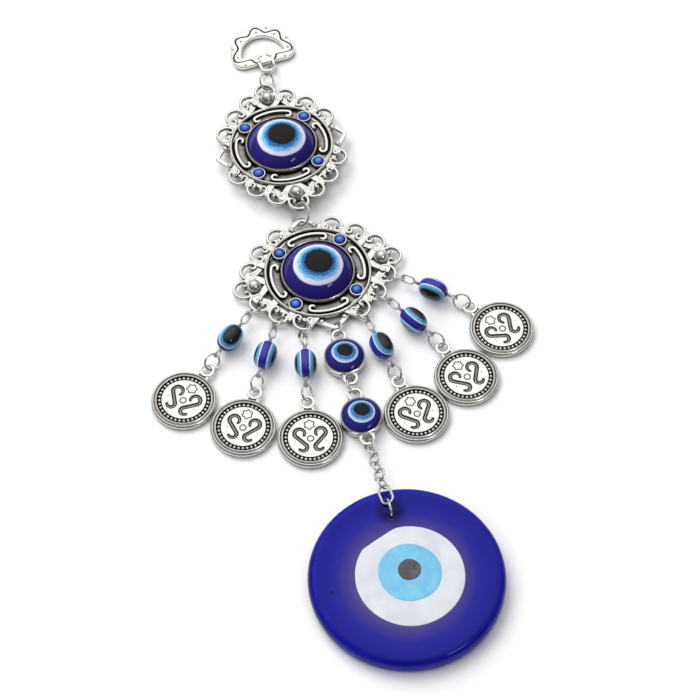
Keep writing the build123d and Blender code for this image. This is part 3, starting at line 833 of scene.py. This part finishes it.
def coin_height(r, a):
    """Height and darkness of a coin's face at a radius and an angle from its ear."""
    if r > RIM_R:
        t = (r - RIM_R) / (COIN_R - RIM_R)
        return 1.70 - 0.42 * t * t, 0.04 + 0.25 * t * t
    if r > LIP_R:
        t = (r - LIP_R) / (RIM_R - LIP_R)
        return 1.62 + 0.08 * t - 0.16 * sin(pi * t), 0.2 + 0.6 * sin(pi * t) ** 2
    if r > GROOVE_R:
        t = (r - GROOVE_R) / (LIP_R - GROOVE_R)
        return 1.52 + 0.24 * sin(pi * t), 0.5 * (1 - sin(pi * t)) ** 2
    return pearl_height(r, a) if r > FIELD_R else field_height(r, a)


def ear_path(x, count):
    return [(x + EAR_R * cos(a), EAR_R * sin(a), 0) for a in full_turn(count)]


def coin_shape():
    """One coin with its ear towards +X."""
    turn = full_turn(432)
    rows = []
    shades = []
    for radius, height, dark in COIN_BACK:
        rows.append([(radius * cos(a), radius * sin(a), height) for a in turn])
        shades.append(dark)
    radii = []
    r = 0.0
    while r < COIN_R:
        radii.append(r)
        r += 0.10
    radii.append(COIN_R)
    for r in reversed(radii):
        face = [coin_height(r, a) for a in turn]
        rows.append([(r * cos(a), r * sin(a), height) for a, (height, _) in zip(turn, face)])
        shades.append([dark for _, dark in face])
    s = Shape()
    s.grid(rows, shades)
    s.sweep(ear_path(10.75, 40), rounded(0.4, 1.26, 1.74, 0.16, 0.5), closed=True)
    for side in (1, -1):
        shoulder = [(8.1 + 0.35 * k, side * (1.55 - 0.10 * k), 0) for k in range(5)]
        s.sweep(shoulder, rounded(0.42, 1.0, 1.6, 0.2, 0.7))
    return s


def lowest_disc(node):
    """The middle of the points of a node that lie at its lowest level, in millimetres."""
    points = [Vector(v.co) / MM for v in frame["nodes"][node].data.vertices]
    base = min(p.z for p in points)
    flat = [p for p in points if p.z < base + 0.02]
    x, y = [(max(p[i] for p in flat) + min(p[i] for p in flat)) / 2 for i in (0, 1)]
    return Vector((x, y, base))


# ---------------------------------------------------------------- drops: bead, eye pin, coin

PIN, LOOP = 0.30, 0.95
BEAD_HALF = 4.15
WRAP = 0.9
# How far each bead has rolled about its pin, in degrees from its dark eye facing up
ROLL = {"1": 20, "2": 92, "3": 88, "4": 28, "5": 48, "6": 96}


def bead_shape():
    """A barrel-shaped bead along X with a hole through it."""
    hole = 0.40
    outline = [(-BEAD_HALF + 0.25, hole)]
    for k in range(41):
        t = -1 + 2 * k / 40
        width = BEAD_R * (1 - abs(t) ** 2.6) ** 0.5
        outline.append((t * (BEAD_HALF - 0.02), max(width, 0.62)))
    outline.append((BEAD_HALF - 0.25, hole))
    s = Shape()
    rows = [[(along, r * cos(a), r * sin(a)) for a in full_turn(72)] for along, r in outline]
    s.grid(rows, [0.0] * len(rows), closed=True)
    return s


def pin_shape(n, bead_at, run, across):
    """An eye pin along X: one wire, looped at both ends and wrapped round itself."""
    top = joint_at(f"eye_pin_{n}")
    low = joint_at(f"bottom_ring_{n}")
    wrap_top = -BEAD_HALF - 0.25 - WRAP
    wrap_low = BEAD_HALF + 0.25 + WRAP

    def opening(ring, at):
        """Which way a loop spreads, so that it crosses the ring it holds."""
        middle, _, normal, _ = ring_frame(ring)
        tangent = normal.cross(at - middle).normalized()
        tangent = (tangent - run * tangent.dot(run)).normalized()
        return run.cross(tangent).normalized()

    def spot(along, side, off):
        return Vector((along, 0, 0)) + Vector((0, side.dot(across), side.z)) * off

    s = Shape()
    # The upper loop is drawn out to the ring it hangs from
    side = opening(f"top_ring_{n}", top)
    start = (top - bead_at).dot(run) - 0.75
    neck = wrap_top + 0.1
    path = []
    for k in range(9):
        path.append(spot(neck - (wrap_top - start - LOOP) * k / 8, side, LOOP * ease(min(1.0, k / 3))))
    for k in range(1, 25):
        a = pi * k / 24
        path.append(spot(start + LOOP - LOOP * sin(a), side, LOOP * cos(a)))
    for k in range(1, 9):
        along = start + LOOP + (neck - start - LOOP) * k / 8
        path.append(spot(along, side, -LOOP * ease(min(1.0, (8 - k) / 3))))
    s.tube(path, PIN, dark=0.1)
    # The stem through the bead, and a coil of wire on each side of the bead
    s.tube([(wrap_top, 0, 0), (wrap_low, 0, 0)], PIN, dark=0.1)
    for first, last in ((wrap_top, -BEAD_HALF - 0.2), (BEAD_HALF + 0.2, wrap_low)):
        coil = []
        for k in range(61):
            a = 2 * pi * 2.6 * k / 60
            coil.append((first + (last - first) * k / 60, 0.36 * cos(a), 0.36 * sin(a)))
        s.tube(coil, 0.19, sides=10, dark=0.18)
    # The lower loop is round
    side = opening(f"bottom_ring_{n}", low)
    centre = wrap_low + LOOP
    path = [spot(centre + LOOP * cos(pi + a), side, LOOP * sin(pi + a)) for a in full_turn(48)]
    s.tube(path, PIN, closed=True, dark=0.1)
    return s


bead = bead_shape()
coin = coin_shape()
for n in ROLL:
    bead_at = joint_at(f"bead_{n}")
    run = joint_axis(f"bead_{n}").normalized()
    across = UP.cross(run)
    roll = radians(ROLL[n])
    eye = UP * cos(roll) + across * sin(roll)
    bead.make(f"bead_{n}_glass", frame_at(bead_at, run, eye), BEAD, f"bead_{n}", "bead_glass", f"bead_{n}")
    pin = pin_shape(n, bead_at, run, across)
    pin.make(f"eye_pin_{n}_wire", frame_at(bead_at, run), WIRE, f"eye_pin_{n}", "wire", f"eye_pin_{n}")
    centre = lowest_disc(f"coin_{n}")
    ear = joint_at(f"coin_{n}") + run * EAR_R
    coin_frame = frame_at(centre, Vector((ear.x - centre.x, ear.y - centre.y, 0)))
    coin.make(f"coin_{n}_cast", coin_frame, SILVER, f"coin_{n}", "antique_silver", f"coin_{n}", crease=60)

# ---------------------------------------------------------------- eye links

CUP_R, CUP_TOP = 5.6, 3.2


def cup_shape():
    """The round cup of an eye link, with its two ears along X."""
    r, top = CUP_R, CUP_TOP
    s = Shape()
    s.lathe([(0, 0, 0.4), (r - 0.5, 0, 0.4), (r - 0.1, 0.15, 0.5), (r, 0.6, 0.35), (r - 0.02, 1.4, 0.15),
             (r - 0.08, 1.8, 0.75), (r - 0.02, 2.0, 0.3), (r, 2.6, 0.05), (r - 0.08, top - 0.12, 0.0),
             (r - 0.25, top, 0.0), (r - 0.42, top - 0.08, 0.2), (r - 0.55, top - 0.4, 0.9),
             (r - 0.55, 0.85, 0.9), (0, 0.8, 0.9)], segments=96)
    for side in (1, -1):
        s.sweep(ear_path(side * 6.8, 44), rounded(0.4, 2.0, 2.62, 0.2, 0.65), closed=True)
        for flank in (1, -1):
            s.ball((side * 5.75, flank * 1.75, 2.1), 0.62, (0.7, 1.0))
    return s


cup = cup_shape()
link_eye = Shape()
foot = [(LINK_EYE_R - 0.03, 0.85, 0.0), (LINK_EYE_R, 3.15, 0.0)]
link_eye.lathe(foot + dome(LINK_EYE_R, 3.15, 1.9, 28), segments=96)
for n in "12":
    body = f"link_{n}"
    centre = lowest_disc(f"{body}_setting")
    cup.make(f"{body}_cup", frame_at(centre, level(-90)), SILVER, body, "antique_silver", f"{body}_setting")
    link_eye.make(f"{body}_glass", frame_at(centre, level(0)), LINK_GLASS, body, "eye_glass", f"{body}_eye")

# ---------------------------------------------------------------- glass disc

DISC_R, DISC_T = 25.0, 5.0
EDGE_WIDTH, HUMP_R = 2.6, 6.4
TUNNEL_R, BAIL_R = 0.62, 2.3
WHITE_AT, SKY_AT, PUPIL_AT = (0.6, -0.75), (0.78, 0.2), (0.85, 0.9)
disc_mid = lowest_disc("glass_disc")
bail = joint_at("glass_disc")
hump_y = bail.y - disc_mid.y
disc_frame = frame_at(disc_mid, level(0))


def surface(x, y):
    """The height of the disc's face: flat, rounded at the edge, humped at the bail."""
    height = DISC_T
    r = hypot(x, y)
    if r > DISC_R - EDGE_WIDTH:
        t = min(1.0, (r - DISC_R + EDGE_WIDTH) / EDGE_WIDTH)
        height = DISC_T - 2.3 * (1 - sqrt(max(0.0, 1 - t ** 2.4)))
    d = hypot(x, y - hump_y)
    if d < HUMP_R:
        height += 1.4 * ease(1 - d / HUMP_R) ** 1.3
    return height


def disc_shape():
    """The cobalt body: a flat back with a rounded edge, and the face above it."""
    turn = full_turn(240)
    rows = []
    for r, height in ((0, 0), (23.4, 0), (24.3, 0.25), (24.8, 0.8), (DISC_R, 1.6), (DISC_R, 2.3)):
        rows.append([(r * cos(a), r * sin(a), height) for a in turn])
    edge = [DISC_R - 0.02, 24.9, 24.7, 24.4, 24.0, 23.5, 23.0, 22.4]
    for r in edge + [22.0 - 0.36 * k for k in range(40)] + [7.0, 6.0, 4.0, 2.0, 0.0]:
        rows.append([(r * cos(a), r * sin(a), surface(r * cos(a), r * sin(a))) for a in turn])
    s = Shape()
    s.grid(rows, [0.0] * len(rows))
    return s


def drill(piece, path, radius):
    """Cut a round tunnel out of the disc, along a closed path in its own frame."""
    tool = Shape()
    tool.tube(path, radius, closed=True, sides=20)
    mesh = bpy.data.meshes.new("tunnel_cutter")
    mesh.from_pydata([p * MM for p in tool.points], [], tool.faces)
    mesh.update()
    cutter = bpy.data.objects.new("tunnel_cutter", mesh)
    bpy.context.scene.collection.objects.link(cutter)
    cutter.location = disc_mid * MM
    cut = piece.modifiers.new("tunnel", "BOOLEAN")
    cut.operation = "DIFFERENCE"
    cut.object = cutter
    cut.solver = "EXACT"
    bpy.context.view_layer.update()
    drilled = bpy.data.meshes.new_from_object(piece.evaluated_get(bpy.context.evaluated_depsgraph_get()))
    piece.modifiers.remove(cut)
    piece.data = drilled
    bpy.data.objects.remove(cutter)


# Share of the radius, and of the thickness, from the middle of a poured layer's foot to its top
PUDDLE = ((0, -0.15), (1.0, -0.15), (1.0, 0.0), (0.994, 0.35), (0.982, 0.62), (0.96, 0.82), (0.92, 0.95),
          (0.8, 1.0), (0.5, 1.0), (0, 1.0))


def puddle(name, centre, radius, base, thick, wobble, material, slot, node, notch=0.0):
    """A layer of glass poured on the one below it, a little uneven, and notched below the bail."""
    turn = full_turn(144)
    phase = [random.uniform(0, 2 * pi) for _ in range(4)]

    def reach(a):
        waves = sin(2 * a + phase[0]) * 0.5 + sin(3 * a + phase[1]) * 0.35 + sin(5 * a + phase[2]) * 0.2
        gap = (a - radians(113) + pi) % (2 * pi) - pi
        swell = 0.35 * max(0.0, cos(a - radians(80))) - 1.2 * max(0.0, 1 - (gap / 0.38) ** 2)
        return radius * (1 + wobble * waves) + notch * swell

    rows = []
    for share, height in PUDDLE:
        row = []
        for a in turn:
            r = reach(a) * share
            row.append((centre[0] + r * cos(a), centre[1] + r * sin(a), base + height * thick))
        rows.append(row)
    s = Shape()
    s.grid(rows, [0.0] * len(rows))
    s.make(name, disc_frame, material, "glass_disc", slot, node, crease=70)


cobalt = cobalt_glass(WHITE_AT, hump_y, DISC_R)
disc_piece = disc_shape().make("disc_glass", disc_frame, cobalt, "glass_disc", "cobalt_glass", "glass_disc")
drill(disc_piece, [(0, hump_y + BAIL_R * cos(a), bail.z + BAIL_R * sin(a)) for a in full_turn(64)], TUNNEL_R)
WHITE_GLASS = glass("white_disc_glass", linear(206, 209, 217), linear(222, 224, 230), 160.0)
SKY_GLASS = glass("sky_disc_glass", linear(112, 184, 220), linear(132, 200, 230), 300.0)
PUPIL_GLASS = glass("pupil_disc_glass", linear(72, 72, 76), linear(104, 103, 106), 500.0)
puddle("disc_white", WHITE_AT, 13.75, DISC_T, 0.10, 0.008, WHITE_GLASS, "white_glass", "white_layer", 0.8)
puddle("disc_sky", SKY_AT, 8.0, DISC_T + 0.10, 0.08, 0.016, SKY_GLASS, "sky_glass", "sky_layer")
puddle("disc_pupil", PUPIL_AT, 2.95, DISC_T + 0.18, 0.07, 0.03, PUPIL_GLASS, "dark_glass", "pupil")

# ---------------------------------------------------------------- hanger

HANGER_TURN = 4.0
# The middle that the hanger's band is measured from, up its own Y
HUB = 5.6
STEP = 0.0139
BAND_TURN = full_turn(216)
tab = joint_at("hanger_ring_b")
tab_up = Matrix.Rotation(radians(HANGER_TURN), 3, "Z") @ Vector((0, 2.9, 0))
hang_frame = frame_at(Vector((tab.x, tab.y, 0)) + tab_up, level(HANGER_TURN))


def in_outline(x, y):
    """Inside the D: a bow above, two round corners below and the straight bar between them."""
    x = abs(x)
    bow = y >= 4.8 and hypot(x, y - 4.8) <= 9.2
    corner = hypot(x - 6.2, y - 3.1) <= 3.1
    bar = x <= 6.2 and 0 <= y < 5.5
    flank = 2.5 < y < 6.2 and x < 9.3 - max(0.0, 3.1 - y) * 0.2 and x <= 9.22
    return bow or corner or bar or flank


def in_opening(x, y):
    """Inside the half-moon opening."""
    return y >= 3.4 and (x / 6.3) ** 2 + ((y - 3.4) / 6.8) ** 2 <= 1


def edge_of(inside, a, start, steps):
    """How far out from the hub a region goes at an angle."""
    x, y = Vector((cos(a), sin(a)))
    reach = [start + k * STEP for k in range(steps)]
    return max((r for r in reach if inside(x * r, HUB + y * r)), default=0.0)


outer = [edge_of(in_outline, a, 2.0, 720) for a in BAND_TURN]
inner = [edge_of(in_opening, a, 0.0, 520) for a in BAND_TURN]
for _ in range(3):
    outer = [(outer[j - 1] + 2 * outer[j] + outer[(j + 1) % len(outer)]) / 4 for j in range(len(outer))]
outer = [r - 0.03 for r in outer]
BAND = list(zip(BAND_TURN, inner, outer))


def wave(a):
    """Where the wavy line runs across the band, from its inner to its outer edge."""
    return 0.60 + 0.24 * cos(7 * (a - radians(89)))


def band_point(a, r, height):
    return (r * cos(a), HUB + r * sin(a), height)


def face_point(a, low, high, t):
    """A point of the face and its darkness: rounded edges, and a dark wavy groove that stops at the tab."""
    band = high - low
    edge = min(min(1.0, t * band / 0.45), min(1.0, (1 - t) * band / 0.45))
    height = 1.6 - 0.30 * (1 - sqrt(max(0.0, 1 - (1 - edge) ** 2)))
    gap = abs(t - wave(a)) * band
    broken = abs(((a / (2 * pi)) % 1) - 0.76) < 0.06
    cut = 0.0 if broken else 1 - ease((gap - 0.09) / 0.2)
    return band_point(a, low + band * t, height - 0.22 * cut), max(0.0, 0.02 + 1.0 * cut)


# Share of the band, and height, from the outer side round the back to the inner side
BAND_BACK = ((1.0, 0.9), (1.0, 0.25), (0.985, 0.0), (0.5, 0.0), (0.015, 0.0), (0.0, 0.25), (0.0, 0.9))


def add_band(s):
    """The D-shaped band: its face, then its sides and back."""
    rows = []
    shades = []
    levels = 34
    for k in range(levels + 1):
        face = [face_point(a, low, high, k / levels) for a, low, high in BAND]
        rows.append([point for point, _ in face])
        shades.append([dark for _, dark in face])
    for share, height in BAND_BACK:
        rows.append([band_point(a, low + (high - low) * share, height) for a, low, high in BAND])
        shades.append(0.25)
    s.grid(rows, shades, closed=True)


def add_dots(s):
    """A raised dot in every hollow of the wave, by turns inside and outside it, and two by the tab."""
    spots = []
    for k in range(14):
        turned = (89 + 180 * k / 7) % 360
        if abs(turned - 115) < 3 or abs(turned - 270) < 20:
            continue
        a, low, high = BAND[round(len(BAND) * turned / 360) % len(BAND)]
        spots.append(band_point(a, low + (high - low) * (0.42 if k % 2 == 0 else 0.82), 1.52))
    for spot in spots + [(-1.0, 2.5, 1.52), (1.0, 2.5, 1.52)]:
        # Each dot's dark foot paints a shadow ring round it, as well as patina.
        s.ball(spot, 0.38, (0.95, 2.2), low=-30)


def add_tab(s):
    """A loop of flat bar below the straight edge, with a slot through it."""
    path = []
    for k in range(17):
        a = radians(180 + 180 * k / 16)
        x = 1.95 * abs(cos(a)) ** 0.6 * (1 if cos(a) > 0 else -1)
        y = -1.2 + 1.7 * abs(sin(a)) ** 0.7 * (1 if sin(a) > 0 else -1)
        path.append((x, y, 0))
    path = [(path[0][0] - 0.15, 0.6, 0)] + path + [(path[-1][0] + 0.15, 0.6, 0)]
    s.sweep(path, rounded(0.44, 1.0, 1.6, 0.2, 0.5))


hanger = Shape()
for add in (add_band, add_dots, add_tab):
    add(hanger)
hanger.make("hanger_cast", hang_frame, SILVER, "hanger", "antique_silver", "hanger")

# ---------------------------------------------------------------- stage

FLOOR = 3.0
floor_mesh = bpy.data.meshes.new("floor")
corners = [(-FLOOR, -FLOOR, 0), (FLOOR, -FLOOR, 0), (FLOOR, FLOOR, 0), (-FLOOR, FLOOR, 0)]
floor_mesh.from_pydata(corners, [], [(0, 1, 2, 3)])
floor_obj = bpy.data.objects.new("floor", floor_mesh)
floor_obj.location.z = -0.00005
bpy.context.scene.collection.objects.link(floor_obj)
pale = Nodes("pale_floor", 0.9)
shading = pale.math("MULTIPLY", pale.noise(2.0, 2.0), 0.2)
pale.colour(pale.mix(shading, (0.95, 0.95, 0.955, 1), (0.93, 0.93, 0.94, 1)))
floor_mesh.materials.append(pale.material)

# A dim room with a broad soft light high behind the ornament: how bright it is towards that light
LIGHT_WAY = Vector((0.05, 0.5, 0.86))
ROOM = ((0.0, 0.10), (0.42, 0.22), (0.74, 0.66), (0.97, 1.3))
world = bpy.data.worlds.new("studio")
bpy.context.scene.world = world
world.use_nodes = True
tree = world.node_tree
back = tree.nodes["Background"]
back.inputs["Strength"].default_value = 1.0
way = tree.nodes.new("ShaderNodeTexCoord")
toward = tree.nodes.new("ShaderNodeVectorMath")
toward.operation = "DOT_PRODUCT"
toward.inputs[1].default_value = LIGHT_WAY.normalized()
tree.links.new(way.outputs["Generated"], toward.inputs[0])
sky = tree.nodes.new("ShaderNodeValToRGB")
tree.links.new(toward.outputs["Value"], sky.inputs[0])
stops = sky.color_ramp.elements
while len(stops) < len(ROOM):
    stops.new(0.5)
for stop, (where, light) in zip(stops, ROOM):
    stop.position = where
    stop.color = (light, light, light * 1.01, 1)
tree.links.new(sky.outputs["Color"], back.inputs["Color"])


def lamp(name, where, size, power, shows=False):
    """A softbox that faces the ornament's middle, and shows or doesn't in polished surfaces."""
    light = bpy.data.lights.new(name, "AREA")
    light.shape = "RECTANGLE"
    light.size, light.size_y = size
    light.energy = power
    obj = bpy.data.objects.new(name, light)
    obj.location = where
    obj.visible_glossy = shows
    obj.rotation_euler = (-Vector(where)).to_track_quat("-Z", "Y").to_euler()
    bpy.context.scene.collection.objects.link(obj)


lamp("key", (-0.35, 0.75, 0.85), (0.9, 0.9), 9.0)
lamp("fill", (-0.75, -0.1, 0.6), (0.7, 0.5), 2.4)
lamp("strip", (0.35, -0.5, 0.6), (0.22, 0.08), 0.5, shows=True)

AIM = Vector((2.69, -9.75, 0.0)) * MM
EYE = Vector((-70.6, -314.7, 502.0)) * MM
camera = bpy.data.cameras.new("camera")
camera.lens = 113.14
camera.sensor_width = 36.0
view = bpy.data.objects.new("camera", camera)
view.location = EYE
view.rotation_euler = (AIM - EYE).to_track_quat("-Z", "Y").to_euler()
bpy.context.scene.collection.objects.link(view)
bpy.context.scene.camera = view
bpy.context.scene.view_settings.view_transform = "Standard"
